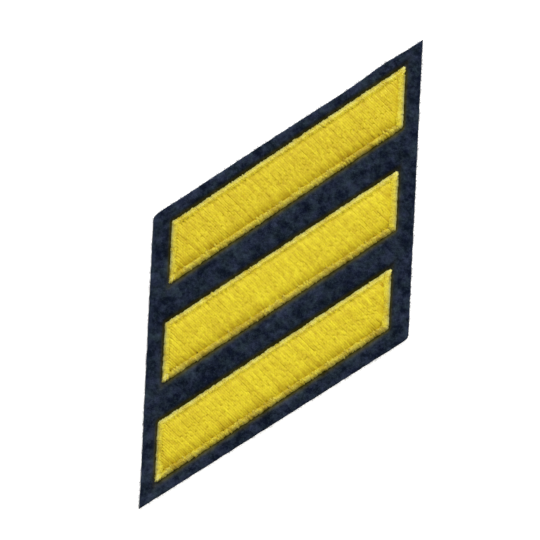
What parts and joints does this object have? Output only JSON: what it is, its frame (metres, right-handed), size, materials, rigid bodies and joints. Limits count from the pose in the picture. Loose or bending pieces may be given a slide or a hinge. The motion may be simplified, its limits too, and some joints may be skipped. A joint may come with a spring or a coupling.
{
  "type": "service stripe patch",
  "caption": "Slanted felt sleeve patch with raised, satin-bordered embroidered bars, flat on the back.",
  "frame": {"origin": "middle of the flat back, at the centre of the patch's box", "axes": "+X right across the patch, +Y up along its upright ends, +Z out of the embroidered face"},
  "size_m": [0.0502, 0.093, 0.002],
  "materials": {
    "navy_felt": "matt wool felt with a fine short nap",
    "gold_thread": "close embroidery stitches with a soft satin sheen"
  },
  "bodies": {
    "root": {"felt_ground": "navy_felt", "upper_fill": "gold_thread", "upper_border": "gold_thread", "middle_fill": "gold_thread", "middle_border": "gold_thread", "lower_fill": "gold_thread", "lower_border": "gold_thread"}
  },
  "joints": []
}
